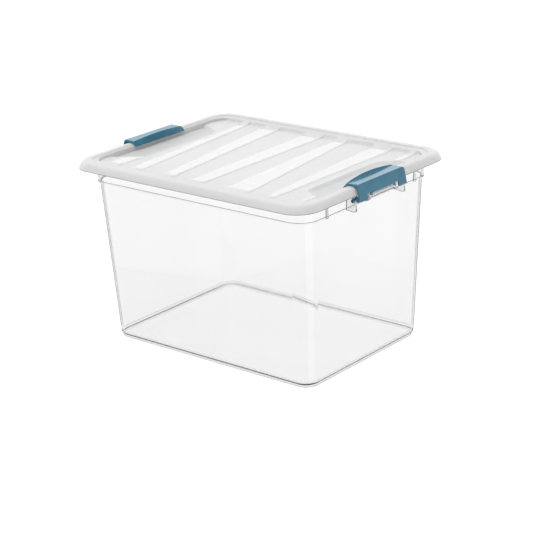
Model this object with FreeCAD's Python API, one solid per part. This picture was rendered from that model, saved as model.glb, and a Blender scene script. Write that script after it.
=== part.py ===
"""Clear storage box with a clip-down lid, in millimetres.

X runs along the long side, Y across, Z up; the origin is on the floor under the middle of the box.
Each clip turns on its own moulded pins, held by two fins of the tub.
"""

import math
import os

import FreeCAD
import Part

os.makedirs("parts", exist_ok=True)

# How far a piece runs into the one it joins
BITE = 0.2
DEEP_BITE = 0.5

# Tub body: half sizes at the foot, and how much each side leans out per mm of height
BASE_X = 180.6
BASE_Y = 127.7
LEAN = 0.054
BASE_CORNER = 20.5
TOP_CORNER = 27.0
BODY_TOP = 237.0
BODY_FOOT = 4.5
WALL = 2.2
FLOOR_TOP = 5.5
FLOOR_UNDER = 3.0
FLOOR_FILLET = 6.0
FOOT_INSET = 2.2
FOOT_WIDTH = 2.5
HEEL_ROUND = 2.0

# Collar: the stepped band under the lid, and the rim that carries the lid
COLLAR_LOW_X = 196.0
COLLAR_HIGH_X = 197.3
COLLAR_SHORTER = 52.8
COLLAR_CORNER = 29.0
COLLAR_WALL = 2.0
STEP_THICK = 2.0
RIM_TOP = 265.6
RIM_THICK = 2.2
RIM_X = 203.0
RIM_Y = 156.5
RIM_CORNER = 30.0
RIM_LIP_LOW = 260.5
RIM_LIP_THICK = 2.0

# Ribs, pin fins, hooks and the rail between them, at each short end
END_ROOT_X = 195.6
RIB_Y = 98.5
RIB_THICK = 3.0
RIB_OUT_X = 200.0
RIB_FOOT_Z = 237.5
RIB_CUT = 0.6
PIN_X = 207.5
PIN_Z = 252.0
PIN_R = 2.75
PIN_HOLE_R = 2.80
PIN_TIP_HOLE_R = 1.3
PIN_TIP_DEPTH = 3.0
FIN_IN_Y = 53.0
FIN_OUT_Y = 56.0
FIN_EYE_R = 4.6
FIN_FOOT_Z = 236.4
FIN_ROOT_RISE = 1.6
FIN_TOE_BACK = 1.0
FIN_TOE_LOW = 0.8
FIN_TOE_HIGH = 2.4
FIN_NECK_X = 202.9
HOOK_IN_Y = 28.0
HOOK_OUT_Y = 34.5
HOOK_X = 216.0
HOOK_TOP = 256.5
HOOK_THICK = 2.2
HOOK_TIP_CUT = 0.8
LEDGE_LOW = 247.5
LEDGE_THICK = 2.2
LEDGE_CUT = 1.4
RAIL_X = 213.0
RAIL_TOP = 254.0
RAIL_THICK = 2.0

# Lid: skirt, crest, shelf and panel
LID_SKIN = 2.0
SKIRT_LOW = 259.0
SKIRT_X = 212.5
SKIRT_Y = 166.0
SKIRT_CORNER = 34.0
CREST_TOP = 270.0
CREST_IN_X = 197.0
CREST_IN_Y = 150.0
CREST_IN_CORNER = 25.0
SHELF_TOP = 268.0
WELL_X = 192.3
WELL_Y = 139.6
WELL_CORNER = 24.0
WELL_LEAN = 4.0
CHANNEL_TOP = 263.8
PLATEAU_TOP = 265.0
PLATEAU_END_Y = 126.5
RECESS_FLOOR = 260.3
RECESS_IN_X = 153.0
RECESS_IN_Y = 78.0
RECESS_OUT_Y = 98.0
RECESS_SLANT = 0.6
# Inset from the skirt's lower edge, height above it, corner radius: the rounded shoulder
SHOULDER = ((0.0, 0.0, 34.0), (2.5, 6.2, 33.0), (4.4, 9.4, 32.0), (7.4, 11.0, 31.0))
# Each raised stripe: left and right x at the back end, then at the front end
STRIPES = (
    (-145.0, -131.5, -125.5, -104.5),
    (-101.5, -73.0, -64.0, -44.5),
    (-23.5, 8.0, -13.0, 11.0),
    (35.0, 54.5, 51.5, 92.0),
    (102.5, 134.0, 122.0, 135.5),
    (164.0, 174.5, 175.5, 180.5),
)
SHORT_STRIPE = (-172.5, -149.5, -170.0, -148.5)
SHORT_STRIPE_END_Y = -82.0

# Clip: outer plate, top flange scooped up into an arched finger lip, end webs and pins
CLIP_HALF = 52.3
CLIP_TOP_X = 213.0
CLIP_TOP_Z = 273.8
CLIP_LOW_X = 218.0
CLIP_LOW_Z = 250.5
CLIP_THICK = 2.3
CLIP_BEND = 1.0
CLIP_SHOULDER = 1.2
TOP_CORNER_R, TOP_CORNER_Z = 6.0, 274.3
FOOT_CORNER_R, FOOT_CORNER_X = 3.0, 214.8
FLANGE_X = 196.5
FLANGE_Z = 273.0
FLANGE_THICK = 1.9
LIP_X = 194.4
LIP_Z = 273.5
LIP_LOW_X = 188.6
LIP_LOW_Z = 266.5
LIP_THICK = 1.7
LIP_CREST = 0.5
LIP_BACK = 0.3
LIP_BACK_DROP = 0.6
LIP_ROOT = 1.1
ARCH_RISE = 3.7
ARCH_BOW = 3.0
WEB_THICK = 2.2
WEB_BOSS_R = 3.9
WEB_TOP = 258.2
WEB_SET_IN = 1.0
TAB_PLAY = 0.1
PIN_END_Y = 57.0
NOTCH_Y = 24.5
NOTCH_Z = 257.0
TAB_Y = 27.3
TAB_Z = 254.0
SLOT_OUT_Y = 35.2
SLOT_R = 9.95
CLIP_SECTIONS = 12


def ring(half_x, half_y, corner, z):
    """Closed wire: a rectangle with rounded corners, lying flat at height z."""
    sx = half_x - corner
    sy = half_y - corner
    arcs = []
    for cx, cy, turn in ((sx, -sy, -90), (sx, sy, 0), (-sx, sy, 90), (-sx, -sy, 180)):
        pts = []
        for step in (0, 45, 90):
            ang = math.radians(turn + step)
            pts.append(FreeCAD.Vector(cx + corner * math.cos(ang), cy + corner * math.sin(ang), z))
        arcs.append(Part.Arc(*pts).toShape())
    edges = []
    for arc, following in zip(arcs, arcs[1:] + arcs[:1]):
        edges.append(arc)
        edges.append(Part.makeLine(arc.Vertexes[-1].Point, following.Vertexes[0].Point))
    return Part.Wire(Part.__sortEdges__(edges))


def lofted(*sections):
    """Solid through flat rings given as (half_x, half_y, corner, z)."""
    return Part.makeLoft([ring(*s) for s in sections], True, True)


def block(x0, x1, y0, y1, z0, z1):
    return Part.makeBox(x1 - x0, y1 - y0, z1 - z0, FreeCAD.Vector(x0, y0, z0))


def extruded(points, along):
    """Solid from a closed outline of 3-D points pushed along a vector."""
    corners = [FreeCAD.Vector(*p) for p in points]
    face = Part.Face(Part.makePolygon(corners + corners[:1]))
    return face.extrude(FreeCAD.Vector(*along))


def upright(points_xz, y0, y1):
    """Solid from an outline in X and Z that spans y0 to y1."""
    return extruded([(x, y0, z) for x, z in points_xz], (0, y1 - y0, 0))


def rod(radius, x, z, y0, y1):
    return Part.makeCylinder(radius, y1 - y0, FreeCAD.Vector(x, y0, z), FreeCAD.Vector(0, 1, 0))


def both_ends(shape):
    """The shape and its copy turned half round the vertical axis."""
    other = shape.copy()
    other.rotate(FreeCAD.Vector(0, 0, 0), FreeCAD.Vector(0, 0, 1), 180)
    return [shape, other]


def save(shape, node):
    whole = shape.removeSplitter()
    whole.exportStep("parts/%s.step" % node)


def body_half(z):
    """Half sizes and corner radius of the tub's outside at height z."""
    share = z / BODY_TOP
    corner = BASE_CORNER + (TOP_CORNER - BASE_CORNER) * share
    return BASE_X + LEAN * z, BASE_Y + LEAN * z, corner


def body_section(z, inset):
    hx, hy, corner = body_half(z)
    return hx - inset, hy - inset, corner - inset, z


def collar_section(z, inset):
    share = (z - BODY_TOP) / (RIM_TOP - BODY_TOP)
    hx = COLLAR_LOW_X + (COLLAR_HIGH_X - COLLAR_LOW_X) * share - inset
    return hx, hx - COLLAR_SHORTER, COLLAR_CORNER - inset, z


def tub_shell():
    heel = body_section(BODY_FOOT, HEEL_ROUND)
    outside = lofted(heel, body_section(BODY_FOOT + HEEL_ROUND, 0.0), body_section(BODY_TOP, 0.0))
    foot = body_section(0.0, FOOT_INSET)
    foot_top = (foot[0], foot[1], foot[2], BODY_FOOT)
    shell = outside.fuse(lofted(foot, foot_top))
    shell = shell.fuse(lofted(collar_section(BODY_TOP, 0.0), collar_section(RIM_TOP, 0.0)))
    rim = lofted((RIM_X, RIM_Y, RIM_CORNER, RIM_LIP_LOW), (RIM_X, RIM_Y, RIM_CORNER, RIM_TOP))
    inner_x = RIM_X - RIM_LIP_THICK
    inner_y = RIM_Y - RIM_LIP_THICK
    inner_corner = RIM_CORNER - RIM_LIP_THICK
    under = RIM_TOP - RIM_THICK
    gap = lofted((inner_x, inner_y, inner_corner, RIM_LIP_LOW - 1), (inner_x, inner_y, inner_corner, under))
    shell = shell.fuse(rim.cut(gap))
    cavity = lofted(body_section(FLOOR_TOP, WALL), body_section(BODY_TOP + STEP_THICK, WALL))
    low_edges = [e for e in cavity.Edges if e.BoundBox.ZMax < FLOOR_TOP + 0.01]
    cavity = cavity.makeFillet(FLOOR_FILLET, low_edges)
    throat = lofted(
        collar_section(BODY_TOP + STEP_THICK, COLLAR_WALL),
        collar_section(RIM_TOP + 1, COLLAR_WALL),
    )
    hollow_x = foot[0] - FOOT_WIDTH
    hollow_y = foot[1] - FOOT_WIDTH
    hollow_corner = foot[2] - FOOT_WIDTH
    under_floor = lofted((hollow_x, hollow_y, hollow_corner, -1), (hollow_x, hollow_y, hollow_corner, FLOOR_UNDER))
    return shell.cut(cavity).cut(throat).cut(under_floor)


def end_fittings():
    """Ribs, pin fins, hooks and rail of the +X end."""
    under = RIM_TOP - RIM_THICK + BITE
    made = []
    rib = [
        (END_ROOT_X, RIB_FOOT_Z),
        (RIB_OUT_X - RIB_CUT, RIB_FOOT_Z),
        (RIB_OUT_X, RIB_FOOT_Z + RIB_CUT),
        (RIB_OUT_X, under),
        (END_ROOT_X, under),
    ]
    fin = [
        (END_ROOT_X, FIN_FOOT_Z + FIN_ROOT_RISE),
        (PIN_X, FIN_FOOT_Z),
        (PIN_X + FIN_EYE_R - FIN_TOE_BACK, FIN_FOOT_Z + FIN_TOE_LOW),
        (PIN_X + FIN_EYE_R, FIN_FOOT_Z + FIN_TOE_HIGH),
        (PIN_X + FIN_EYE_R, PIN_Z),
        (FIN_NECK_X, PIN_Z),
        (FIN_NECK_X, under),
        (END_ROOT_X, under),
    ]
    hook = [
        (END_ROOT_X, LEDGE_LOW),
        (HOOK_X - LEDGE_CUT, LEDGE_LOW),
        (HOOK_X, LEDGE_LOW + LEDGE_CUT),
        (HOOK_X, HOOK_TOP - HOOK_TIP_CUT),
        (HOOK_X - HOOK_TIP_CUT, HOOK_TOP),
        (HOOK_X - HOOK_THICK, HOOK_TOP),
        (HOOK_X - HOOK_THICK, LEDGE_LOW + LEDGE_THICK),
        (END_ROOT_X, LEDGE_LOW + LEDGE_THICK),
    ]
    rail = [
        (END_ROOT_X, LEDGE_LOW),
        (RAIL_X - LEDGE_CUT, LEDGE_LOW),
        (RAIL_X, LEDGE_LOW + LEDGE_CUT),
        (RAIL_X, RAIL_TOP),
        (RAIL_X - RAIL_THICK, RAIL_TOP),
        (RAIL_X - RAIL_THICK, LEDGE_LOW + LEDGE_THICK),
        (END_ROOT_X, LEDGE_LOW + LEDGE_THICK),
    ]
    for side in (1, -1):
        y0, y1 = sorted((side * (RIB_Y - RIB_THICK / 2), side * (RIB_Y + RIB_THICK / 2)))
        made.append(upright(rib, y0, y1))
        y0, y1 = sorted((side * FIN_IN_Y, side * FIN_OUT_Y))
        eye = rod(FIN_EYE_R, PIN_X, PIN_Z, y0, y1)
        hole = rod(PIN_HOLE_R, PIN_X, PIN_Z, y0 - 1, y1 + 1)
        made.append(upright(fin, y0, y1).fuse(eye).cut(hole))
        y0, y1 = sorted((side * HOOK_IN_Y, side * HOOK_OUT_Y))
        made.append(upright(hook, y0, y1))
    made.append(upright(rail, -HOOK_IN_Y, HOOK_IN_Y))
    return made


def make_tub():
    tub = tub_shell()
    for fitting in end_fittings():
        for piece in both_ends(fitting):
            tub = tub.fuse(piece)
    return tub


def lid_sections(skin, drop):
    """Rings of the skirt and rounded shoulder, brought in by the skin and lowered."""
    made = []
    for inset, up, corner in SHOULDER:
        z = SKIRT_LOW + up - drop * up / (CREST_TOP - SKIRT_LOW)
        made.append((SKIRT_X - inset - skin, SKIRT_Y - inset - skin, corner - skin, z))
    return made


def stripe_at(stripe, y):
    """Left and right x of a stripe at a given y."""
    share = (PLATEAU_END_Y - y) / (2 * PLATEAU_END_Y)
    return (
        stripe[0] + (stripe[2] - stripe[0]) * share,
        stripe[1] + (stripe[3] - stripe[1]) * share,
    )


def plateau(stripe, y0, y1, low, top, inset):
    """A raised stripe between two y values."""
    outline = []
    for y, order in ((y0 + inset, 1), (y1 - inset, -1)):
        ends = [(x, y, low) for x in stripe_at(stripe, y)]
        ends = [(ends[0][0] + inset, y, low), (ends[1][0] - inset, y, low)]
        outline += ends[::order]
    return extruded(outline, (0, 0, top - low))


def ramp(stripe, side):
    """The stripe's end, which climbs from the plateau to the shelf."""
    near = stripe_at(stripe, side * PLATEAU_END_Y)
    outline = [
        (near[0], side * PLATEAU_END_Y, CHANNEL_TOP - DEEP_BITE),
        (near[0], side * PLATEAU_END_Y, PLATEAU_TOP),
        (near[0], side * (WELL_Y + BITE), SHELF_TOP),
        (near[0], side * (WELL_Y + BITE), CHANNEL_TOP - DEEP_BITE),
    ]
    return extruded(outline, (near[1] - near[0], 0, 0))


def recess_outline(grow, z):
    """Finger recess at the +X end: wide at the rim, narrower inboard."""
    reach = WELL_X + grow
    return [
        (RECESS_IN_X - grow, -RECESS_IN_Y - grow * RECESS_SLANT, z),
        (reach, -RECESS_OUT_Y - grow, z),
        (reach, RECESS_OUT_Y + grow, z),
        (RECESS_IN_X - grow, RECESS_IN_Y + grow * RECESS_SLANT, z),
    ]


def make_lid():
    outside = lofted(*lid_sections(0.0, 0.0))
    inside = [(SKIRT_X - LID_SKIN, SKIRT_Y - LID_SKIN, SKIRT_CORNER - LID_SKIN, SKIRT_LOW - 1)]
    inside += lid_sections(LID_SKIN, LID_SKIN)
    shelf_keep_x = CREST_IN_X + LID_SKIN
    shelf_keep_y = CREST_IN_Y + LID_SKIN
    keep_corner = CREST_IN_CORNER + LID_SKIN
    keep = lofted(
        (shelf_keep_x, shelf_keep_y, keep_corner, SHELF_TOP - LID_SKIN),
        (shelf_keep_x, shelf_keep_y, keep_corner, CREST_TOP),
    )
    lid = outside.cut(lofted(*inside).cut(keep))
    lid = lid.cut(
        lofted(
            (CREST_IN_X, CREST_IN_Y, CREST_IN_CORNER, SHELF_TOP),
            (CREST_IN_X, CREST_IN_Y, CREST_IN_CORNER, CREST_TOP + 1),
        )
    )
    plug_x = WELL_X + LID_SKIN
    plug_y = WELL_Y + LID_SKIN
    plug_corner = WELL_CORNER + LID_SKIN
    plug_low = CHANNEL_TOP - LID_SKIN
    plug = lofted((plug_x, plug_y, plug_corner, plug_low), (plug_x, plug_y, plug_corner, SHELF_TOP))
    lid = lid.fuse(plug)
    walls = extruded(recess_outline(LID_SKIN, RECESS_FLOOR - LID_SKIN), (0, 0, PLATEAU_TOP - RECESS_FLOOR))
    for piece in both_ends(walls):
        lid = lid.fuse(piece)
    lid = lid.cut(
        lofted(
            (WELL_X, WELL_Y - WELL_LEAN, WELL_CORNER, CHANNEL_TOP),
            (WELL_X, WELL_Y, WELL_CORNER, SHELF_TOP),
            (WELL_X, WELL_Y, WELL_CORNER, CREST_TOP + 1),
        )
    )
    low = CHANNEL_TOP - DEEP_BITE
    raised = []
    for stripe in STRIPES:
        raised.append(plateau(stripe, -PLATEAU_END_Y, PLATEAU_END_Y, low, PLATEAU_TOP, 0.0))
        raised.append(ramp(stripe, 1))
        raised.append(ramp(stripe, -1))
    raised.append(plateau(SHORT_STRIPE, -PLATEAU_END_Y, SHORT_STRIPE_END_Y, low, PLATEAU_TOP, 0.0))
    raised.append(ramp(SHORT_STRIPE, -1))
    for piece in raised:
        lid = lid.fuse(piece.common(plug))
    for stripe in STRIPES[:-1]:
        lid = lid.cut(
            plateau(stripe, -PLATEAU_END_Y, PLATEAU_END_Y, plug_low - 1, PLATEAU_TOP - LID_SKIN, LID_SKIN)
        )
    recess = extruded(recess_outline(0.0, RECESS_FLOOR), (0, 0, CREST_TOP - RECESS_FLOOR))
    recess = recess.common(
        lofted((WELL_X, WELL_Y, WELL_CORNER, RECESS_FLOOR - 1), (WELL_X, WELL_Y, WELL_CORNER, CREST_TOP + 1))
    )
    for piece in both_ends(recess):
        lid = lid.cut(piece)
    return lid


def clip_plate_x(z):
    """Outer face of the clip's plate at height z."""
    return CLIP_LOW_X - (z - CLIP_LOW_Z) * (CLIP_LOW_X - CLIP_TOP_X) / (CLIP_TOP_Z - CLIP_LOW_Z)


def clip_section(y):
    """Outline of the clip in X and Z at a given y; the finger lip arches up in the middle."""
    arch = 1.0 - (y / CLIP_HALF) ** 2
    rise = ARCH_RISE * arch
    lip_x = LIP_X - ARCH_BOW * arch
    lip_z = LIP_Z + rise
    scoop_x = FLANGE_X - ARCH_BOW * arch
    bend_z = CLIP_TOP_Z - CLIP_BEND
    points = [
        (CLIP_LOW_X, CLIP_LOW_Z),
        (clip_plate_x(bend_z), bend_z),
        (CLIP_TOP_X - CLIP_BEND, CLIP_TOP_Z),
        (scoop_x, FLANGE_Z),
        (lip_x + LIP_CREST, lip_z),
        (lip_x - LIP_BACK, lip_z - LIP_BACK_DROP),
        (LIP_LOW_X, LIP_LOW_Z),
        (LIP_LOW_X + LIP_THICK, LIP_LOW_Z),
        (scoop_x - LIP_ROOT, FLANGE_Z - FLANGE_THICK),
        (clip_plate_x(bend_z) - CLIP_THICK, bend_z - CLIP_SHOULDER),
        (CLIP_LOW_X - CLIP_THICK, CLIP_LOW_Z),
    ]
    corners = [FreeCAD.Vector(x, y, z) for x, z in points]
    return Part.makePolygon(corners + corners[:1])


def corner_waste(side, up, radius, tip_z, x0):
    """What lies outside a rounded corner of the clip seen from its end of the box."""
    x1 = CLIP_LOW_X + 5
    mid_y, mid_z = side * (CLIP_HALF - radius), tip_z - up * radius
    y0, y1 = sorted((mid_y, side * (CLIP_HALF + 2)))
    z0, z1 = sorted((mid_z, tip_z + up * 2))
    start = FreeCAD.Vector(x0 - 1, mid_y, mid_z)
    kept = Part.makeCylinder(radius, x1 - x0 + 2, start, FreeCAD.Vector(1, 0, 0))
    return block(x0, x1, y0, y1, z0, z1).cut(kept)


def make_clip():
    rows = [CLIP_HALF * (2.0 * i / CLIP_SECTIONS - 1.0) for i in range(CLIP_SECTIONS + 1)]
    clip = Part.makeLoft([clip_section(y) for y in rows], True, True)
    reach = CLIP_LOW_X + 5
    near = PIN_X - 1
    clip = clip.cut(block(near, reach, -NOTCH_Y, NOTCH_Y, CLIP_LOW_Z - 1, NOTCH_Z))
    for side in (1, -1):
        y0, y1 = sorted((side * (NOTCH_Y - TAB_PLAY), side * (TAB_Y + TAB_PLAY)))
        clip = clip.cut(block(near, reach, y0, y1, CLIP_LOW_Z - 1, TAB_Z))
        y0, y1 = sorted((side * TAB_Y, side * SLOT_OUT_Y))
        clip = clip.cut(rod(SLOT_R, PIN_X, PIN_Z, y0, y1))
        clip = clip.cut(block(near, reach, y0, y1, CLIP_LOW_Z - 3, PIN_Z + 3))
    web = [
        (PIN_X + WEB_SET_IN, WEB_TOP),
        (clip_plate_x(WEB_TOP) - WEB_SET_IN, WEB_TOP),
        (CLIP_LOW_X - WEB_SET_IN, CLIP_LOW_Z + BITE),
        (PIN_X + WEB_SET_IN, PIN_Z - WEB_BOSS_R + BITE),
    ]
    for side in (1, -1):
        y0, y1 = sorted((side * (CLIP_HALF - WEB_THICK), side * CLIP_HALF))
        clip = clip.fuse(upright(web, y0, y1))
        clip = clip.fuse(rod(WEB_BOSS_R, PIN_X, PIN_Z, y0, y1))
        y0, y1 = sorted((side * (CLIP_HALF - DEEP_BITE), side * PIN_END_Y))
        pin = rod(PIN_R, PIN_X, PIN_Z, y0, y1)
        y0, y1 = sorted((side * (PIN_END_Y - PIN_TIP_DEPTH), side * (PIN_END_Y + 1)))
        clip = clip.fuse(pin.cut(rod(PIN_TIP_HOLE_R, PIN_X, PIN_Z, y0, y1)))
        clip = clip.cut(corner_waste(side, 1, TOP_CORNER_R, TOP_CORNER_Z, LIP_LOW_X - 5))
        clip = clip.cut(corner_waste(side, -1, FOOT_CORNER_R, CLIP_LOW_Z, FOOT_CORNER_X))
    return clip


save(make_tub(), "tub")
save(make_lid(), "lid")
right, left = both_ends(make_clip())
save(right, "latch_right")
save(left, "latch_left")
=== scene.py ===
"""Clear storage box with a clip-down lid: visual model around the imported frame."""

import math

import bmesh
import bpy
from mathutils import Matrix, Vector


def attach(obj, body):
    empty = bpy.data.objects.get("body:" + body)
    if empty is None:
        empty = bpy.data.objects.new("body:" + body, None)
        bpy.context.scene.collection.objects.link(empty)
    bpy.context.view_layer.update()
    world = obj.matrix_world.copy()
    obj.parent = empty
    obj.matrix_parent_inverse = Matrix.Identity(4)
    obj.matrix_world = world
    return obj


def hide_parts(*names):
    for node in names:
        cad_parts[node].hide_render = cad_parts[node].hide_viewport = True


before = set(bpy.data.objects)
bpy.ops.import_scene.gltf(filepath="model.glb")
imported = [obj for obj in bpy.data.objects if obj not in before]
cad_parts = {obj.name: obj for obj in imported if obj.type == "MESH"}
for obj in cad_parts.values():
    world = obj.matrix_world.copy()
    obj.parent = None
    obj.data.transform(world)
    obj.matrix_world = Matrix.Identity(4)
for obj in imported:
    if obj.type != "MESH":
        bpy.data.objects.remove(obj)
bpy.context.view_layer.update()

MM = 0.001
SHARP = math.radians(32)
SLIVER = 2e-6  # metres
MIN_EDGE = 0.01  # mm, the smallest chamfer a slab is given

# ---------------------------------------------------------------- dimensions, mm
BODY_X, BODY_Y, LEAN = 180.6, 127.7, 0.054
BODY_CORNER, BODY_CORNER_GAIN = 20.5, 6.5 / 237.0
BODY_TOP, WALL = 237.0, 2.2
FLOOR_UNDER, FLOOR_TOP, HEEL = 3.0, 5.5, 4.5
COLLAR_X, COLLAR_GAIN, COLLAR_SHORTER = 196.0, 1.3 / 28.6, 52.8
COLLAR_CORNER, COLLAR_WALL = 29.0, 2.0
RIM_TOP, RIM_X, RIM_Y, RIM_CORNER = 265.6, 203.0, 156.5, 30.0

PIN_X, PIN_Z, PIN_R, PIN_PLAY = 207.5, 252.0, 2.75, 0.05
PIN_END_Y = 57.0
END_ROOT, UNDER_RIM = 195.9, 263.8
LEDGE_LOW, LEDGE_THICK = 247.5, 2.2
HOOK_X, HOOK_TOP, HOOK_THICK = 216.0, 256.5, 2.2
RAIL_X, RAIL_TOP, RAIL_THICK, RAIL_HALF = 213.0, 254.0, 2.0, 28.2
FIN_NECK_X, FIN_NECK_Z = 202.9, 256.5
RIB_OUT_X = 200.0

WELL_X, WELL_Y, WELL_CORNER = 192.3, 139.6, 24.0
CHANNEL, PLATEAU, SHELF, CREST = 263.8, 265.0, 268.0, 270.0
PLATEAU_END = 126.5
RAMP_SHORT, FLOOR_SHORT = 0.1, 0.2  # how far ramps and channels end below the shelf
FLOOR_RISE = 4.6
LID_SKIN = 2.0
RECESS_FLOOR, RECESS_IN_X, RECESS_IN_Y, RECESS_OUT_Y = 260.3, 153.0, 78.0, 98.0
STRIPES = (
    (-145.0, -131.5, -125.5, -104.5),
    (-101.5, -73.0, -64.0, -44.5),
    (-23.5, 8.0, -13.0, 11.0),
    (35.0, 54.5, 51.5, 92.0),
    (102.5, 134.0, 122.0, 135.5),
    (164.0, 174.5, 175.5, 180.5),
)
SHORT_STRIPE = (-172.5, -149.5, -170.0, -148.5)

CLIP_HALF = 52.3
CLIP_LOW_X, CLIP_LOW_Z, CLIP_TOP_X, CLIP_TOP_Z = 218.0, 250.5, 213.0, 273.8
ARCH_RISE, ARCH_BOW = 3.7, 3.0
# Rounded corners of the clip: radius, height of the square corner, and where the cut starts in X
TOP_CORNER, FOOT_CORNER = (6.0, 274.3, 183.6), (3.0, 250.5, 214.8)
CUT_END = 223.0


# ---------------------------------------------------------------- mesh helpers
def mesh_object(name, verts, faces):
    """An object from points in millimetres, its faces turned outwards."""
    mesh = bpy.data.meshes.new(name)
    mesh.from_pydata([Vector(v) * MM for v in verts], [], faces)
    mesh.validate()
    bm = bmesh.new()
    bm.from_mesh(mesh)
    bmesh.ops.remove_doubles(bm, verts=bm.verts, dist=1e-7)
    bmesh.ops.recalc_face_normals(bm, faces=bm.faces)
    bm.to_mesh(mesh)
    bm.free()
    obj = bpy.data.objects.new(name, mesh)
    bpy.context.scene.collection.objects.link(obj)
    return obj


def boolean(obj, others, operation):
    """Applies an exact boolean with each of the other objects, and removes them."""
    for other in others:
        mod = obj.modifiers.new("bool", "BOOLEAN")
        mod.operation = operation
        mod.solver = "EXACT"
        mod.object = other
        graph = bpy.context.evaluated_depsgraph_get()
        made = bpy.data.meshes.new_from_object(obj.evaluated_get(graph))
        obj.modifiers.clear()
        old = obj.data
        obj.data = made
        bpy.data.meshes.remove(old)
        bpy.data.objects.remove(other)
    return obj


def tidy_mesh(obj):
    """Merges the doubled points and slivers that booleans leave behind."""
    bm = bmesh.new()
    bm.from_mesh(obj.data)
    bmesh.ops.remove_doubles(bm, verts=bm.verts, dist=SLIVER)
    bmesh.ops.dissolve_degenerate(bm, edges=bm.edges, dist=SLIVER)
    bmesh.ops.recalc_face_normals(bm, faces=bm.faces)
    bm.to_mesh(obj.data)
    bm.free()


def shade(obj):
    """Smooth shading with edges sharper than SHARP kept."""
    mesh = obj.data
    mesh.polygons.foreach_set("use_smooth", [True] * len(mesh.polygons))
    mesh.set_sharp_from_angle(angle=SHARP)
    mod = obj.modifiers.new("weighted", "WEIGHTED_NORMAL")
    mod.keep_sharp = True
    mod.weight = 80


def toward(here, other, reach):
    """The point at most that far from here on the way to other, and never past the middle."""
    away = other - here
    length = math.sqrt(sum(c * c for c in away))
    return here + away * (min(reach, length * 0.49) / length)


def rounded(points, closed, steps=5):
    """Bezier-rounds a polyline whose last coordinate is the tangent length at each point."""
    out = []
    count = len(points)
    for i, point in enumerate(points):
        here, reach = Vector(point[:-1]), point[-1]
        if reach <= 0 or (not closed and i in (0, count - 1)):
            out.append(here)
            continue
        before = Vector(points[i - 1][:-1])
        after = Vector(points[(i + 1) % count][:-1])
        a = toward(here, before, reach)
        c = toward(here, after, reach)
        for k in range(steps + 1):
            t = k / steps
            out.append(a * (1 - t) ** 2 + here * 2 * t * (1 - t) + c * t * t)
    return out


def ring(half_x, half_y, corner, z):
    """Points round a rectangle with rounded corners."""
    per_corner = 14
    pts = []
    for cx, cy, turn in (
        (half_x - corner, half_y - corner, 0),
        (corner - half_x, half_y - corner, 90),
        (corner - half_x, corner - half_y, 180),
        (half_x - corner, corner - half_y, 270),
    ):
        for k in range(per_corner + 1):
            ang = math.radians(turn + 90 * k / per_corner)
            pts.append((cx + corner * math.cos(ang), cy + corner * math.sin(ang), z))
    return pts


def lofted(name, sections, capped):
    """Rings of (half_x, half_y, corner, z) joined in order: capped at the ends, or a loop."""
    loops = [ring(*s) for s in sections]
    count = len(loops[0])
    verts = [p for loop in loops for p in loop]
    faces = []
    rows = len(loops)
    for r in range(rows if not capped else rows - 1):
        a, b = r * count, ((r + 1) % rows) * count
        for k in range(count):
            n = (k + 1) % count
            faces.append((a + k, a + n, b + n, b + k))
    if capped:
        faces.append(tuple(reversed(range(count))))
        faces.append(tuple(range((rows - 1) * count, rows * count)))
    return mesh_object(name, verts, faces)


def offset_outline(outline, by):
    """Moves a closed 2-D outline inwards by a distance."""
    area = sum(
        a[0] * b[1] - b[0] * a[1] for a, b in zip(outline, outline[1:] + outline[:1])
    )
    sign = 1 if area > 0 else -1
    out = []
    for i, here in enumerate(outline):
        before, after = Vector(outline[i - 1]), Vector(outline[(i + 1) % len(outline)])
        p = Vector(here)
        d0, d1 = (p - before).normalized(), (after - p).normalized()
        n0 = Vector((-d0.y, d0.x)) * sign
        n1 = Vector((-d1.y, d1.x)) * sign
        m = n0 + n1
        m.normalize()
        out.append(p + m * (by / max(0.4, m.dot(n0))))
    return [tuple(p) for p in out]


def slab(name, outline, lo, hi, edge, place):
    """Solid from a 2-D outline between two levels, its edges eased by a small chamfer."""
    inner = offset_outline(outline, edge)
    layers = [(inner, lo), (outline, lo + edge), (outline, hi - edge), (inner, hi)]
    count = len(outline)
    verts = [place(p[0], p[1], level) for shape, level in layers for p in shape]
    faces = []
    for r in range(3):
        for k in range(count):
            n = (k + 1) % count
            faces.append((r * count + k, r * count + n, (r + 1) * count + n, (r + 1) * count + k))
    faces.append(tuple(reversed(range(count))))
    faces.append(tuple(range(3 * count, 4 * count)))
    return mesh_object(name, verts, faces)


def across(x, z, y):
    """Places an outline drawn in X and Z at a level along Y."""
    return (x, y, z)


def endways(y, z, x):
    """Places an outline drawn in Y and Z at a level along X."""
    return (x, y, z)


def rod(name, radius, x, z, y0, y1, sides=48, edge=0.0):
    """A round bar along Y."""
    outline = [
        (
            x + radius * math.cos(2 * math.pi * k / sides),
            z + radius * math.sin(2 * math.pi * k / sides),
        )
        for k in range(sides)
    ]
    return slab(name, outline, y0, y1, max(edge, MIN_EDGE), across)


def turned(obj, degrees):
    """The object's mesh turned about the vertical axis."""
    obj.data.transform(Matrix.Rotation(math.radians(degrees), 4, "Z"))
    return obj


def flat_outline(points):
    """Rounds a 2-D outline given as (x, z, tangent length)."""
    return [tuple(p) for p in rounded(points, True, 4)]


# ---------------------------------------------------------------- tub
def body(z, inset=0.0):
    """The leaning walls' ring at height z."""
    grow = LEAN * z - inset
    return BODY_X + grow, BODY_Y + grow, BODY_CORNER + BODY_CORNER_GAIN * z - inset, z


def collar(z, inset=0.0):
    """The collar's ring at height z."""
    hx = COLLAR_X + COLLAR_GAIN * (z - BODY_TOP) - inset
    return hx, hx - COLLAR_SHORTER, COLLAR_CORNER - inset, z


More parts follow.
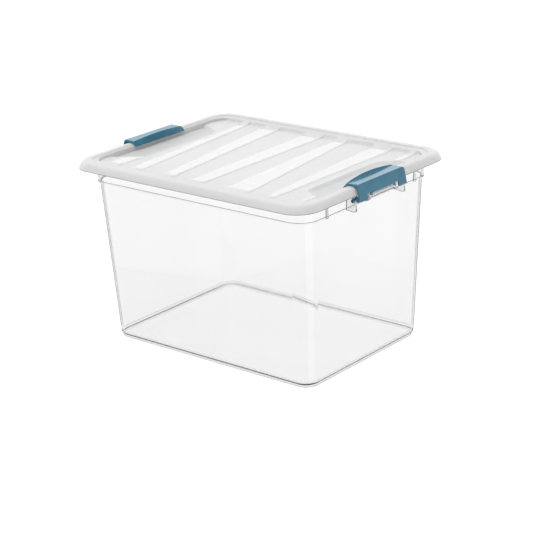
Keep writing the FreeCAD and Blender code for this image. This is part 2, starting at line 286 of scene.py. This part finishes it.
def tub_profile():
    """Rings from the underside, up the outside, over the rim and down to the inside floor."""
    foot = body(0.0, 2.2)
    foot_in = body(0.0, 4.7)
    step_in = BODY_TOP + 2.0
    rim_under = RIM_TOP - 2.2
    rim_low = 260.5
    rim = (RIM_X, RIM_Y, RIM_CORNER)
    rim_in = (RIM_X - 2.0, RIM_Y - 2.0, RIM_CORNER - 2.0)
    base = body(FLOOR_TOP, WALL)
    points = [
        (*foot_in[:3], FLOOR_UNDER, 0.0),
        (*foot_in[:3], 0.0, 0.6),
        (*foot[:3], 0.0, 0.8),
        (*foot[:3], HEEL, 0.4),
        (*body(HEEL + 0.2, 0.9), 1.2),
        (*body(HEEL + 2.4), 1.6),
        (*body(BODY_TOP), 0.9),
        (*collar(BODY_TOP), 0.9),
        (*collar(rim_under), 0.8),
        (*rim_in, rim_under, 0.6),
        (*rim_in, rim_low, 0.4),
        (*rim, rim_low, 0.6),
        (*rim, RIM_TOP, 1.0),
        (*collar(RIM_TOP, COLLAR_WALL), 1.0),
        (*collar(step_in, COLLAR_WALL), 0.9),
        (*body(step_in, WALL), 0.9),
        (*base, 5.5),
        (base[0] - 12.0, base[1] - 12.0, 12.0, FLOOR_TOP, 0.0),
    ]
    return rounded(points, False, 6)


def fin_outline():
    """A hinge fin in X and Z: a foot under the pin, an eye round it and a neck up to the rim."""
    eye = 4.6
    pts = [
        (END_ROOT, 238.0, 0.0),
        (PIN_X - 1.0, 236.4, 0.8),
        (PIN_X + eye, 237.0, 1.2),
        (PIN_X + eye, 240.0, 0.0),
    ]
    outline = [tuple(p) for p in rounded(pts, False, 4)]
    for k in range(0, 19):
        ang = math.radians(-8 + 150 * k / 18)
        outline.append((PIN_X + eye * math.cos(ang), PIN_Z + eye * math.sin(ang)))
    outline += [(FIN_NECK_X, FIN_NECK_Z), (FIN_NECK_X, UNDER_RIM), (END_ROOT, UNDER_RIM)]
    return outline


def end_fittings():
    """Ribs, pin fins, hooks and rail of the +X end."""
    ledge_top = LEDGE_LOW + LEDGE_THICK
    hook = [
        (END_ROOT, LEDGE_LOW, 0.0),
        (HOOK_X, LEDGE_LOW, 2.2),
        (HOOK_X, HOOK_TOP, 0.9),
        (HOOK_X - HOOK_THICK, HOOK_TOP, 0.7),
        (HOOK_X - HOOK_THICK, ledge_top, 1.2),
        (END_ROOT, ledge_top, 0.0),
    ]
    rail = [
        (END_ROOT, LEDGE_LOW, 0.0),
        (RAIL_X, LEDGE_LOW, 2.0),
        (RAIL_X, RAIL_TOP, 0.7),
        (RAIL_X - RAIL_THICK, RAIL_TOP, 0.7),
        (RAIL_X - RAIL_THICK, ledge_top, 1.0),
        (END_ROOT, ledge_top, 0.0),
    ]
    rib = [
        (END_ROOT, 237.4, 0.0),
        (RIB_OUT_X, 238.0, 0.7),
        (RIB_OUT_X, UNDER_RIM, 0.0),
        (END_ROOT, UNDER_RIM, 0.0),
    ]
    made = []
    for side in (1, -1):
        for outline, y0, y1 in (
            (flat_outline(rib), 97.0, 100.0),
            (fin_outline(), 53.0, 56.0),
            (flat_outline(hook), 28.0, 34.5),
        ):
            a, b = sorted((side * y0, side * y1))
            made.append(slab("fitting", outline, a, b, 0.35, across))
    made.append(slab("rail", flat_outline(rail), -RAIL_HALF, RAIL_HALF, 0.05, across))
    return made


def make_tub():
    """The clear tub with the fittings of both ends and the holes for the clips' pins."""
    tub = lofted("clear_tub", [tuple(p) for p in tub_profile()], True)
    for degrees in (0, 180):
        parts = [turned(p, degrees) for p in end_fittings()]
        boolean(tub, parts, "UNION")
        holes = [
            turned(rod("hole", PIN_R + PIN_PLAY, PIN_X, PIN_Z, *span), degrees)
            for span in ((52.0, PIN_END_Y), (-PIN_END_Y, -52.0))
        ]
        boolean(tub, holes, "DIFFERENCE")
    tidy_mesh(tub)
    return tub


# ---------------------------------------------------------------- lid
def lid_rim():
    """Closed loop of rings: skirt, shoulder, crest, shelf and well wall, then back underneath."""
    well_out = (WELL_X + LID_SKIN, WELL_Y + LID_SKIN, WELL_CORNER + LID_SKIN)
    loop = [
        (212.5, 166.0, 34.0, 259.0, 0.7),
        (208.2, 161.8, 32.5, CREST, 6.5),
        (197.0, 150.0, 25.0, CREST, 1.1),
        (195.6, 148.6, 24.0, SHELF, 0.8),
        (WELL_X, WELL_Y, WELL_CORNER, SHELF, 1.0),
        (WELL_X, WELL_Y, WELL_CORNER, CHANNEL - LID_SKIN, 0.3),
        (*well_out, CHANNEL - LID_SKIN, 0.5),
        (*well_out, SHELF - LID_SKIN, 0.6),
        (199.0, 152.0, 27.0, SHELF - LID_SKIN, 0.6),
        (199.0, 152.0, 27.0, CREST - LID_SKIN, 0.6),
        (206.6, 160.0, 31.0, CREST - LID_SKIN, 5.0),
        (210.5, 164.0, 32.5, 259.0, 0.5),
    ]
    return lofted("frosted_lid", [tuple(p) for p in rounded(loop, True, 6)], False)


# Across a stripe's edge: distance in from its line, and share of the stripe's height there
EDGE_STEPS = ((-2.4, 0.0), (-1.7, 0.07), (-0.9, 0.28), (0.1, 0.72), (0.9, 0.93), (1.6, 1.0))


def stripe_columns(stripe):
    """Column lines over one stripe: x at the back, x at the front, share of its height."""
    back_l, back_r, front_l, front_r = stripe
    left = [(back_l + at, front_l + at, share) for at, share in EDGE_STEPS]
    right = [(back_r - at, front_r - at, share) for at, share in reversed(EDGE_STEPS)]
    return left + right


def edge_columns():
    """Column lines over all the long stripes, left to right."""
    columns = []
    for stripe in STRIPES:
        columns += stripe_columns(stripe)
    return columns


def panel_rows():
    """Rows across the panel, close together where the stripes ramp and the channels end."""
    near = [WELL_Y + 0.8, WELL_Y] + [138.6 - k for k in range(5)]
    near += [132.0, 130.0, 128.2, 127.0, 126.0, 124.8]
    even = [-110.0 + 10.0 * k for k in range(23)]
    return sorted([-m for m in near] + [-123.0] + even + near)


def stripe_top(y):
    """Height of a stripe's top at y: flat, then a ramp to the shelf."""
    over = abs(y) - PLATEAU_END
    slope = (SHELF - RAMP_SHORT - PLATEAU) / (WELL_Y - PLATEAU_END)
    ease = 1.6
    if over <= -ease:
        return PLATEAU
    if over < ease:
        return PLATEAU + slope * (over + ease) ** 2 / (4 * ease)
    return PLATEAU + slope * min(over, WELL_Y - PLATEAU_END)


def channel_floor(y):
    """Height of a channel's floor at y: flat, then eased up to the shelf."""
    t = min(max((abs(y) - WELL_Y + FLOOR_RISE) / FLOOR_RISE, 0.0), 1.0)
    return CHANNEL + (SHELF - FLOOR_SHORT - CHANNEL) * t * t * (3.0 - 2.0 * t)


def panel(columns, y_rows, name, sunk=False):
    """Panel slab: stripes stand up from the channel level, the underside follows 2 mm below.

    A sunk slab only carries a stripe, and ends inside the panel below it.
    """
    verts, faces = [], []
    width = len(columns)
    for under in (0, 1):
        for y in y_rows:
            share_y = (PLATEAU_END - y) / (2 * PLATEAU_END)
            for back, front, share in columns:
                x = back + (front - back) * share_y
                z = channel_floor(y)
                z += share * (stripe_top(y) - z)
                low = channel_floor(y) - 1.0 if sunk else z - LID_SKIN
                verts.append((x, y, low if under else z))
    rows = len(y_rows)
    size = rows * width

    for r in range(rows - 1):
        for k in range(width - 1):
            a = r * width + k
            faces.append((a, a + 1, a + width + 1, a + width))
            faces.append((a + size, a + width + size, a + width + 1 + size, a + 1 + size))
        left, right = r * width, r * width + width - 1
        faces.append((left, left + width, left + width + size, left + size))
        faces.append((right, right + size, right + width + size, right + width))
    for k in range(width - 1):
        low, high = k, (rows - 1) * width + k
        faces.append((low, low + size, low + 1 + size, low + 1))
        faces.append((high, high + 1, high + 1 + size, high + size))
    return mesh_object(name, verts, faces)


def lid_panel():
    """The sunk panel with its long stripes, let into the well wall all round."""
    edge = WELL_X + 0.8
    columns = [(-edge, -edge, 0.0)] + edge_columns() + [(edge, edge, 0.0)]
    return panel(columns, panel_rows(), "panel")


def short_stripe():
    """The short stripe beside the left recess, as its own raised slab."""
    rows = [y for y in panel_rows() if y <= -88.0] + [-84.0, -80.0]
    below = -0.2
    columns = [(back, front, share or below) for back, front, share in stripe_columns(SHORT_STRIPE)]
    return panel(columns, rows, "short_stripe", sunk=True)


def recess_shape(grow, low, high, name):
    """Finger recess at the +X end, wide at the rim, with leaning walls."""
    rows = []
    outer = WELL_X - 0.25 + grow
    for level in (low, high):
        g = grow + (level - RECESS_FLOOR) * 1.3
        outline = [
            (RECESS_IN_X - g, -RECESS_IN_Y - g * 0.6, 9.0),
            (outer, -RECESS_OUT_Y - g, 3.0),
            (outer, RECESS_OUT_Y + g, 3.0),
            (RECESS_IN_X - g, RECESS_IN_Y + g * 0.6, 9.0),
        ]
        rows.append([(x, y, level) for x, y in rounded(outline, True, 7)])
    count = len(rows[0])
    faces = [tuple(reversed(range(count))), tuple(range(count, 2 * count))]
    for k in range(count):
        n = (k + 1) % count
        faces.append((k, n, count + n, count + k))
    return mesh_object(name, rows[0] + rows[1], faces)


def make_lid():
    """The lid: rim, panel and short stripe, with a finger recess let in at each end."""
    lid = lid_rim()
    boolean(lid, [lid_panel(), short_stripe()], "UNION")
    for degrees in (0, 180):
        tray = turned(recess_shape(LID_SKIN, RECESS_FLOOR - LID_SKIN, CHANNEL - 0.4, "tray"), degrees)
        boolean(lid, [tray], "UNION")
        hollow = turned(recess_shape(0.0, RECESS_FLOOR, 269.5, "hollow"), degrees)
        boolean(lid, [hollow], "DIFFERENCE")
    tidy_mesh(lid)
    return lid


# ---------------------------------------------------------------- clips
def plate_x(z):
    """Outer face of the clip's plate at height z."""
    return CLIP_LOW_X - (z - CLIP_LOW_Z) * 5.0 / 23.3


def clip_section(y, inset):
    """The clip cut across at y: flat flange at the ends, scooped up to an arched lip midway."""
    arch = 1.0 - (y / CLIP_HALF) ** 2
    rise, bow = ARCH_RISE * arch, ARCH_BOW * arch
    lip_x = 194.4 - bow
    lip_z = 273.5 + rise
    points = [
        (CLIP_LOW_X, CLIP_LOW_Z, 0.8),
        (CLIP_TOP_X, CLIP_TOP_Z, 1.5),
        (196.5 - bow, 273.0, 1.2),
        (lip_x, lip_z, 0.5),
        (lip_x - 1.0, lip_z - 1.6, 0.7),
        (188.6, 266.5, 0.7),
        (190.3, 266.5, 0.6),
        (195.4 - bow, 271.1, 1.2),
        (plate_x(271.3) - 2.0, 271.3, 1.4),
        (215.7, CLIP_LOW_Z, 0.6),
    ]
    outline = [tuple(p) for p in rounded(points, True, 5)]
    if inset:
        outline = offset_outline(outline, inset)
    return [(x, y, z) for x, z in outline]


def clip_shell():
    """The clip's skin from end to end; a larger edge would make its tight bends cross."""
    edge, spans = 0.15, 28
    rows = [(-CLIP_HALF, edge), (-CLIP_HALF + edge * 0.35, edge * 0.35), (-CLIP_HALF + edge, 0.0)]
    rows += [(-CLIP_HALF + CLIP_HALF * 2 * k / spans, 0.0) for k in range(1, spans)]
    rows += [(-y, i) for y, i in reversed(rows[:3])]
    loops = [clip_section(y, i) for y, i in rows]
    count = len(loops[0])
    verts = [p for loop in loops for p in loop]
    last = (len(loops) - 1) * count
    faces = [tuple(reversed(range(count))), tuple(range(last, last + count))]
    for r in range(len(loops) - 1):
        for k in range(count):
            n = (k + 1) % count
            a, b = r * count, (r + 1) * count
            faces.append((a + k, a + n, b + n, b + k))
    return mesh_object("clip", verts, faces)


def notch_cutter():
    """Everything below the clip's lower edge line in the middle: notch, tabs and hook slots."""
    outline = [
        (-35.2, 240.0, 0.0),
        (-35.2, 258.2, 0.9),
        (-27.3, 258.2, 0.5),
        (-27.3, 254.0, 0.6),
        (-24.5, 254.0, 0.6),
        (-24.5, 257.0, 1.2),
        (24.5, 257.0, 1.2),
        (24.5, 254.0, 0.6),
        (27.3, 254.0, 0.6),
        (27.3, 258.2, 0.5),
        (35.2, 258.2, 0.9),
        (35.2, 240.0, 0.0),
    ]
    pts = flat_outline(outline)
    return slab("cutter", pts, 206.5, CUT_END, MIN_EDGE, endways)


def corner_cutter(side, up, radius, tip_z, x0):
    """What lies outside a rounded corner of the clip seen from its end of the box."""
    steps = 16
    half = CLIP_HALF + 0.05
    mid_y, mid_z = half - radius, tip_z - up * radius
    outline = [(half + 2.0, mid_z), (half + 2.0, tip_z + up * 2.0), (mid_y, tip_z + up * 2.0)]
    for k in range(steps + 1):
        ang = math.radians(90.0 - 90.0 * k / steps)
        outline.append((mid_y + radius * math.cos(ang), mid_z + up * radius * math.sin(ang)))
    pts = [(side * y, z) for y, z in outline]
    return slab("cutter", pts, x0, CUT_END, MIN_EDGE, endways)


def make_clip(name, degrees):
    """A clip for the +X end, turned about the middle to its own end."""
    clip = clip_shell()
    clip.name = name
    for side in (1, -1):
        boolean(clip, [corner_cutter(side, 1, *TOP_CORNER)], "DIFFERENCE")
        boolean(clip, [corner_cutter(side, -1, *FOOT_CORNER)], "DIFFERENCE")
    boolean(clip, [notch_cutter()], "DIFFERENCE")
    web = [
        (PIN_X + 0.8, 258.1, 0.8),
        (plate_x(258.1) - 1.2, 258.1, 0.0),
        (216.9, 250.9, 0.8),
        (PIN_X + 0.5, PIN_Z - 3.7, 0.0),
    ]
    for side in (1, -1):
        y0, y1 = sorted((side * (CLIP_HALF - 2.1), side * (CLIP_HALF - 0.15)))
        boolean(clip, [slab("web", flat_outline(web), y0, y1, 0.15, across)], "UNION")
        y0, y1 = sorted((side * (CLIP_HALF - 2.25), side * (CLIP_HALF - 0.02)))
        boolean(clip, [rod("boss", 3.9, PIN_X, PIN_Z, y0, y1, 48, 0.25)], "UNION")
        y0, y1 = sorted((side * (CLIP_HALF - 1.0), side * PIN_END_Y))
        boolean(clip, [rod("pin", PIN_R, PIN_X, PIN_Z, y0, y1, 48, 0.3)], "UNION")
        y0, y1 = sorted((side * (PIN_END_Y - 3.0), side * (PIN_END_Y + 1.0)))
        boolean(clip, [rod("eye", 1.3, PIN_X, PIN_Z, y0, y1, 32)], "DIFFERENCE")
    turned(clip, degrees)
    tidy_mesh(clip)
    return clip


# ---------------------------------------------------------------- materials
NOISE_LOW, NOISE_HIGH = 0.35, 0.65  # the part of a noise's range that is used


def material(name):
    """A new material, its node tree and its main shader."""
    mat = bpy.data.materials.new(name)
    mat.use_nodes = True
    tree = mat.node_tree
    shader = tree.nodes["Principled BSDF"]
    return mat, tree, shader


def node(tree, kind, **values):
    """A new node with its properties set."""
    made = tree.nodes.new(kind)
    for key, value in values.items():
        setattr(made, key, value)
    return made


def noise(tree, scale, detail, rough, stretch=None):
    """Noise in the object's own space, which may be stretched along an axis."""
    coords = node(tree, "ShaderNodeTexCoord")
    tex = node(tree, "ShaderNodeTexNoise")
    tex.inputs["Scale"].default_value = scale
    tex.inputs["Detail"].default_value = detail
    tex.inputs["Roughness"].default_value = rough
    if stretch:
        mapping = node(tree, "ShaderNodeMapping")
        mapping.inputs["Scale"].default_value = stretch
        tree.links.new(coords.outputs["Object"], mapping.inputs["Vector"])
        tree.links.new(mapping.outputs["Vector"], tex.inputs["Vector"])
    else:
        tree.links.new(coords.outputs["Object"], tex.inputs["Vector"])
    return tex


def ramp_to(tree, source, low, high, target):
    """Maps a noise output between two values into a shader socket."""
    ramp = node(tree, "ShaderNodeMapRange")
    ramp.inputs["From Min"].default_value = NOISE_LOW
    ramp.inputs["From Max"].default_value = NOISE_HIGH
    ramp.inputs["To Min"].default_value = low
    ramp.inputs["To Max"].default_value = high
    tree.links.new(source, ramp.inputs["Value"])
    tree.links.new(ramp.outputs["Result"], target)


def tint_to(tree, source, low, high, target):
    """Maps a noise output between two colours into a shader socket."""
    ramp = node(tree, "ShaderNodeValToRGB")
    ramp.color_ramp.elements[0].position = NOISE_LOW
    ramp.color_ramp.elements[1].position = NOISE_HIGH
    ramp.color_ramp.elements[0].color = (*low, 1)
    ramp.color_ramp.elements[1].color = (*high, 1)
    tree.links.new(source, ramp.inputs["Fac"])
    tree.links.new(ramp.outputs["Color"], target)


def bump_to(tree, source, strength, distance, shader):
    """Bump from a noise output on a shader's normal."""
    bump = node(tree, "ShaderNodeBump")
    bump.inputs["Strength"].default_value = strength
    bump.inputs["Distance"].default_value = distance
    tree.links.new(source, bump.inputs["Height"])
    tree.links.new(bump.outputs["Normal"], shader.inputs["Normal"])


def maths(tree, operation, a, b=0.0):
    """A math node on two sockets or numbers."""
    made = node(tree, "ShaderNodeMath", operation=operation)
    for socket, value in zip(made.inputs, (a, b)):
        if isinstance(value, (int, float)):
            socket.default_value = value
        else:
            tree.links.new(value, socket)
    return made.outputs[0]


def product(tree, first, *others):
    """Product of sockets or numbers."""
    for other in others:
        first = maths(tree, "MULTIPLY", first, other)
    return first


def blend(tree, shader, other, share):
    """Mixes a share of another shader into the surface."""
    mix = node(tree, "ShaderNodeMixShader")
    if isinstance(share, float):
        mix.inputs["Fac"].default_value = share
    else:
        tree.links.new(share, mix.inputs["Fac"])
    tree.links.new(shader.outputs["BSDF"], mix.inputs[1])
    tree.links.new(other.outputs["BSDF"], mix.inputs[2])
    tree.links.new(mix.outputs["Shader"], tree.nodes["Material Output"].inputs["Surface"])


def fade(tree, source, start, end, low, high):
    """Smooth change from low to high while the source goes from start to end."""
    made = node(tree, "ShaderNodeMapRange", interpolation_type="SMOOTHSTEP")
    for name, value in (("From Min", start), ("From Max", end), ("To Min", low), ("To Max", high)):
        made.inputs[name].default_value = value
    tree.links.new(source, made.inputs["Value"])
    return made.outputs["Result"]


def places(tree):
    """Distances from the middle along X and Y, and the height, in metres."""
    coords = node(tree, "ShaderNodeTexCoord")
    split = node(tree, "ShaderNodeSeparateXYZ")
    tree.links.new(coords.outputs["Object"], split.inputs[0])
    x, y, z = split.outputs
    return maths(tree, "ABSOLUTE", x), maths(tree, "ABSOLUTE", y), z


def outward(tree, along_x, along_y):
    """How far the normal points away from the middle, along one direction in each quarter."""
    coords = node(tree, "ShaderNodeTexCoord")
    spot = node(tree, "ShaderNodeSeparateXYZ")
    tree.links.new(coords.outputs["Object"], spot.inputs[0])
    normal = node(tree, "ShaderNodeSeparateXYZ")
    tree.links.new(coords.outputs["Normal"], normal.inputs[0])
    parts = []
    for axis, share in ((0, along_x), (1, along_y)):
        sign = maths(tree, "SIGN", spot.outputs[axis])
        parts.append(product(tree, sign, normal.outputs[axis], share))
    return maths(tree, "ADD", *parts)


def turning(tree):
    """Zero on the flat walls, growing where the surface turns a vertical corner."""
    coords = node(tree, "ShaderNodeTexCoord")
    normal = node(tree, "ShaderNodeSeparateXYZ")
    tree.links.new(coords.outputs["Normal"], normal.inputs[0])
    x, y = (maths(tree, "ABSOLUTE", normal.outputs[axis]) for axis in (0, 1))
    return maths(tree, "MINIMUM", x, y)


def darkened(tree, shader, factor):
    """Multiplies the base colour by a factor socket."""
    link = shader.inputs["Base Color"].links[0]
    scale = node(tree, "ShaderNodeVectorMath", operation="SCALE")
    tree.links.new(link.from_socket, scale.inputs[0])
    tree.links.new(factor, scale.inputs["Scale"])
    tree.links.new(scale.outputs[0], shader.inputs["Base Color"])


def clear_painted_light(tree, facing):
    """How much darker or lighter the clear plastic is painted: painted shade at the heel, the inner
    floor line, the fittings and where seen at a slant, and a painted highlight at the corners.
    """
    x, y, z = places(tree)
    past_x = maths(tree, "SUBTRACT", x, BODY_X * MM)
    past_y = maths(tree, "SUBTRACT", y, BODY_Y * MM)
    edge = maths(tree, "MAXIMUM", past_x, past_y)
    side = node(tree, "ShaderNodeNewGeometry")
    front = maths(tree, "SUBTRACT", 1.0, side.outputs["Backfacing"])
    near_wall = product(tree, fade(tree, edge, -0.010, -0.007, 0.0, 1.0), front)
    outer = fade(tree, outward(tree, 1.0, 1.0), -0.1, 0.1, 0.0, 1.0)
    # Painted shade: the outer face near the foot darkened, for the dark line seen along the bottom
    # edges.
    heel_shade = product(tree, near_wall, outer, fade(tree, z, 0.0062, 0.0085, 1.0, 0.0))
    # Painted shade: a dark band on the inner wall just above the floor, for the floor's edge line
    # seen through the walls.
    floor_line_shade = product(
        tree,
        near_wall,
        maths(tree, "SUBTRACT", 1.0, outer),
        fade(tree, z, 0.0074, 0.0082, 0.0, 1.0),
        fade(tree, z, 0.0092, 0.0106, 1.0, 0.0),
    )
    # Painted shade: the end fittings under the rim and clips made 10% darker.
    fitting = product(
        tree,
        fade(tree, x, 0.1978, 0.1988, 0.0, 1.0),
        fade(tree, y, 0.0495, 0.0515, 0.0, 1.0),
        fade(tree, z, 0.2355, 0.2365, 0.0, 1.0),
    )
    return product(
        tree,
        # Painted shade: the walls up to a fifth darker where they are seen at a slant.
        fade(tree, facing, 0.45, 0.85, 1.0, 0.8),
        # Painted highlight: base colour 4% lighter on a narrow line down each rounded vertical
        # corner.
        fade(tree, outward(tree, 0.87, 0.5), 0.97, 0.99, 1.0, 1.04),
        fade(tree, heel_shade, 0.0, 1.0, 1.0, 0.64),
        fade(tree, floor_line_shade, 0.0, 1.0, 1.0, 0.7),
        fade(tree, fitting, 0.0, 1.0, 1.0, 0.9),
    )


def edge_on_painted_shade(tree, facing):
    """Share of painted shade, a near-black diffuse, mixed in where the plastic is seen edge-on,
    mostly at the tub's corners.
    """
    z = places(tree)[2]
    faint = fade(tree, facing, 0.46, 0.66, 0.0, 0.1)
    strong = fade(tree, facing, 0.62, 0.9, 0.0, 0.6)
    return product(
        tree,
        maths(tree, "ADD", faint, strong),
        fade(tree, z, 0.012, 0.016, 0.0, 1.0),
        fade(tree, z, 0.230, 0.237, 1.0, 0.3),
        fade(tree, turning(tree), 0.05, 0.25, 0.3, 1.0),
    )


def clear_plastic():
    """Clear moulded plastic: faint flow ripples, with painted shade at the thick heel and where seen
    edge-on, and a painted highlight at the corners.
    """
    mat, tree, shader = material("clear_plastic_look")
    shader.inputs["Transmission Weight"].default_value = 1.0
    shader.inputs["IOR"].default_value = 1.49
    flow = noise(tree, 9.0, 2.0, 0.5, (1.0, 1.0, 0.35)).outputs["Fac"]
    bump_to(tree, flow, 0.12, 0.004, shader)
    ramp_to(tree, flow, 0.02, 0.05, shader.inputs["Roughness"])
    tint_to(tree, flow, (0.93, 0.93, 0.934), (0.946, 0.946, 0.949), shader.inputs["Base Color"])
    weight = node(tree, "ShaderNodeLayerWeight")
    weight.inputs["Blend"].default_value = 0.5
    facing = weight.outputs["Facing"]
    # Painted shade and a painted highlight on the base colour.
    darkened(tree, shader, clear_painted_light(tree, facing))
    # Painted shade: a near-black diffuse mixed in where the walls are seen edge-on.
    painted_edge_shade = node(tree, "ShaderNodeBsdfDiffuse")
    painted_edge_shade.inputs["Color"].default_value = (0.05, 0.05, 0.055, 1)
    blend(tree, shader, painted_edge_shade, edge_on_painted_shade(tree, facing))
    depth = node(tree, "ShaderNodeVolumeAbsorption")
    depth.inputs["Color"].default_value = (0.5, 0.5, 0.52, 1)
    depth.inputs["Density"].default_value = 30.0
    tree.links.new(depth.outputs["Volume"], tree.nodes["Material Output"].inputs["Volume"])
    return mat


def milky(tree, shader, share):
    """Lets a share of the light through, scattered."""
    through = node(tree, "ShaderNodeBsdfTranslucent")
    through.inputs["Color"].default_value = (0.96, 0.96, 0.955, 1)
    blend(tree, shader, through, share)


def frosted_plastic():
    """Translucent lid plastic with a fine spark-eroded texture, and a painted shadow along the
    skirt's lower edge.
    """
    mat, tree, shader = material("frosted_plastic_look")
    shader.inputs["Transmission Weight"].default_value = 0.1
    shader.inputs["IOR"].default_value = 1.46
    shader.inputs["Specular IOR Level"].default_value = 0.14
    grain = noise(tree, 1600.0, 2.0, 0.6).outputs["Fac"]
    cloud = noise(tree, 14.0, 3.0, 0.55).outputs["Fac"]
    ramp_to(tree, cloud, 0.34, 0.44, shader.inputs["Roughness"])
    tint_to(tree, cloud, (0.88, 0.88, 0.882), (0.91, 0.91, 0.91), shader.inputs["Base Color"])
    bump_to(tree, grain, 0.25, 0.0002, shader)
    # Painted shadow: the skirt's lowest millimetre darkened, for the shade in the gap above the tub's
    # rim.
    darkened(tree, shader, fade(tree, places(tree)[2], 0.2594, 0.2603, 0.3, 1.0))
    milky(tree, shader, 0.28)
    return mat


def gloss_plastic():
    """The lid's polished stripes."""
    mat, tree, shader = material("polished_stripe_look")
    shader.inputs["Transmission Weight"].default_value = 0.1
    shader.inputs["IOR"].default_value = 1.5
    cloud = noise(tree, 60.0, 3.0, 0.55).outputs["Fac"]
    ramp_to(tree, cloud, 0.12, 0.17, shader.inputs["Roughness"])
    tint_to(tree, cloud, (0.83, 0.83, 0.822), (0.85, 0.85, 0.845), shader.inputs["Base Color"])
    bump_to(tree, cloud, 0.03, 0.0006, shader)
    milky(tree, shader, 0.12)
    return mat


def teal_plastic():
    """Opaque blue-green clip plastic: satin, with slight colour drift and fine texture."""
    mat, tree, shader = material("teal_plastic_look")
    shader.inputs["IOR"].default_value = 1.5
    cloud = noise(tree, 55.0, 4.0, 0.55).outputs["Fac"]
    grain = noise(tree, 2200.0, 2.0, 0.5).outputs["Fac"]
    tint_to(tree, cloud, (0.034, 0.176, 0.272), (0.048, 0.204, 0.306), shader.inputs["Base Color"])
    ramp_to(tree, cloud, 0.12, 0.18, shader.inputs["Roughness"])
    bump_to(tree, grain, 0.12, 0.00012, shader)
    return mat


def paint_lid(lid):
    """Second material slot for the stripes' flat tops."""
    lid.data.materials.clear()
    lid.data.materials.append(frosted_plastic())
    lid.data.materials.append(gloss_plastic())
    for poly in lid.data.polygons:
        centre = poly.center
        flat = abs(poly.normal.z) > 0.95
        if flat and abs(centre.z / MM - PLATEAU) < 0.15 and abs(centre.y / MM) < 125.0:
            poly.material_index = 1


# ---------------------------------------------------------------- stage
def floor():
    """Plain white floor, just under the box."""
    far = 9000
    corners = [(-far, -far, 0), (far, -far, 0), (far, far, 0), (-far, far, 0)]
    obj = mesh_object("floor", corners, [(0, 1, 2, 3)])
    obj.location.z = -0.0002
    mat, _, shader = material("floor_look")
    shader.inputs["Base Color"].default_value = (0.12, 0.12, 0.12, 1)
    shader.inputs["Roughness"].default_value = 0.9
    shader.inputs["Specular IOR Level"].default_value = 0.0
    shader.inputs["Emission Color"].default_value = (1, 1, 1, 1)
    shader.inputs["Emission Strength"].default_value = 1.0
    obj.data.materials.append(mat)


def studio():
    """White studio light: a soft dome, brighter behind on the left and dimmer on the right."""
    world = bpy.data.worlds.new("studio")
    bpy.context.scene.world = world
    world.use_nodes = True
    tree = world.node_tree
    tree.nodes.clear()
    out = node(tree, "ShaderNodeOutputWorld")
    coords = node(tree, "ShaderNodeTexCoord")

    def toward_patch(direction, start, end, low, high):
        dot = node(tree, "ShaderNodeVectorMath", operation="DOT_PRODUCT")
        tree.links.new(coords.outputs["Generated"], dot.inputs[0])
        dot.inputs[1].default_value = Vector(direction).normalized()
        return fade(tree, dot.outputs["Value"], start, end, low, high)

    level = toward_patch((-0.65, 0.76, 0.0), 0.1, 0.8, 1.0, 1.9)
    level = maths(tree, "MULTIPLY", level, toward_patch((1.0, 0.0, 0.0), 0.3, 0.95, 1.0, 0.35))
    level = maths(tree, "MULTIPLY", level, toward_patch((0.0, 0.0, 1.0), 0.4, 0.58, 1.0, 0.4))
    level = maths(tree, "ADD", level, toward_patch((0.0, 0.0, 1.0), 0.72, 0.85, 0.0, 2.0))
    lit = node(tree, "ShaderNodeBackground")
    tree.links.new(level, lit.inputs["Strength"])
    plain = node(tree, "ShaderNodeBackground")
    plain.inputs["Strength"].default_value = 1.05
    path = node(tree, "ShaderNodeLightPath")
    mix = node(tree, "ShaderNodeMixShader")
    tree.links.new(path.outputs["Is Camera Ray"], mix.inputs["Fac"])
    tree.links.new(lit.outputs[0], mix.inputs[1])
    tree.links.new(plain.outputs[0], mix.inputs[2])
    tree.links.new(mix.outputs[0], out.inputs["Surface"])


def camera():
    """The main camera: a long lens from the front right, a little above, slightly rolled."""
    azimuth, elevation, roll = math.radians(40.716), math.radians(18.942), math.radians(-2.547)
    back = Vector(
        (
            math.sin(azimuth) * math.cos(elevation),
            -math.cos(azimuth) * math.cos(elevation),
            math.sin(elevation),
        )
    )
    right = Vector((math.cos(azimuth), math.sin(azimuth), 0))
    up = back.cross(right)
    right2 = right * math.cos(roll) + up * math.sin(roll)
    up2 = up * math.cos(roll) - right * math.sin(roll)
    data = bpy.data.cameras.new("camera")
    data.sensor_width = 36.0
    data.lens = 117.73
    data.shift_x = 0.00734
    data.shift_y = -0.0384
    data.clip_start, data.clip_end = 0.1, 60.0
    cam = bpy.data.objects.new("camera", data)
    bpy.context.scene.collection.objects.link(cam)
    turn = Matrix((right2, up2, back)).transposed().to_4x4()
    cam.matrix_world = Matrix.Translation(Vector((0, -0.0003, 0.1345)) + back * 2.496) @ turn
    bpy.context.scene.camera = cam


# ---------------------------------------------------------------- assembly
camera()
studio()
floor()

tub = make_tub()
tub.data.materials.append(clear_plastic())
shade(tub)
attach(tub, "tub")
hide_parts("tub")

lid = make_lid()
paint_lid(lid)
shade(lid)
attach(lid, "lid")
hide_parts("lid")

teal = teal_plastic()
for node_name, turn in (("latch_right", 0), ("latch_left", 180)):
    clip = make_clip("clip_" + node_name.split("_")[1], turn)
    clip.data.materials.append(teal)
    shade(clip)
    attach(clip, node_name)
    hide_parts(node_name)

scene = bpy.context.scene
scene.view_settings.view_transform = "Standard"
scene.cycles.max_bounces = 32
scene.cycles.transmission_bounces = 32
scene.cycles.glossy_bounces = 12
scene.cycles.transparent_max_bounces = 32
